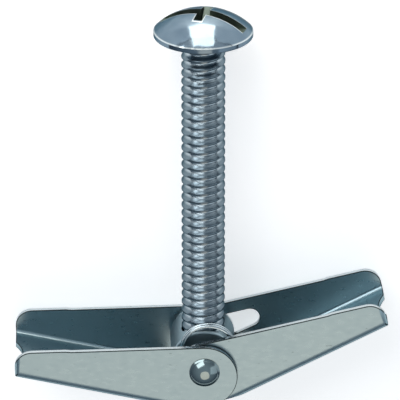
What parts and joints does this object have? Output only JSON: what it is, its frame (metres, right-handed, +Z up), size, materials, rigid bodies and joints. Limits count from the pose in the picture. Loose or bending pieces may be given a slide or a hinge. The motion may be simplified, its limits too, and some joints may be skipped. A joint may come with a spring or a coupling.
{
  "type": "spring toggle bolt",
  "caption": "Spring toggle bolt: domed machine screw with a slot and cross drive, a trunnion nut on its thread and folding sheet wings that a wire spring opens.",
  "frame": {"origin": "on the screw's axis, at the flat underside of the head", "axes": "+Y along the screw towards its head, +X towards the narrow wing, +Z up: the toggle lies on its side with the wings' pivot upright"},
  "size_m": [0.0533, 0.0584, 0.0164],
  "materials": {
    "screw_zinc": "bright zinc plated",
    "nut_zinc": "zinc plated",
    "wing_zinc": "zinc plated sheet",
    "spring_wire": "drawn wire, zinc plated"
  },
  "bodies": {
    "screw": {"machine_screw": "screw_zinc"},
    "nut": {"trunnion_nut": "nut_zinc", "torsion_spring": "spring_wire"},
    "outer_wing": {"wide_wing": "wing_zinc"},
    "inner_wing": {"narrow_wing": "wing_zinc"}
  },
  "joints": [
    {"name": "nut_travel", "type": "slide", "parent": "screw", "child": "nut", "axis": [0, 1, 0], "range_m": [-0.003, 0.02]},
    {"name": "wide_wing_hinge", "type": "hinge", "parent": "nut", "child": "outer_wing", "pos_m": [0, -0.0492, 0], "axis": [0, 0, -1], "range_deg": [0, 82], "stiffness_Nm_per_rad": 0.018, "springref_deg": -34.38, "deforming": ["torsion_spring"]},
    {"name": "narrow_wing_hinge", "type": "hinge", "parent": "nut", "child": "inner_wing", "pos_m": [0, -0.0492, 0], "axis": [0, 0, 1], "range_deg": [0, 67], "stiffness_Nm_per_rad": 0.018, "springref_deg": -34.38, "deforming": ["torsion_spring"]}
  ]
}
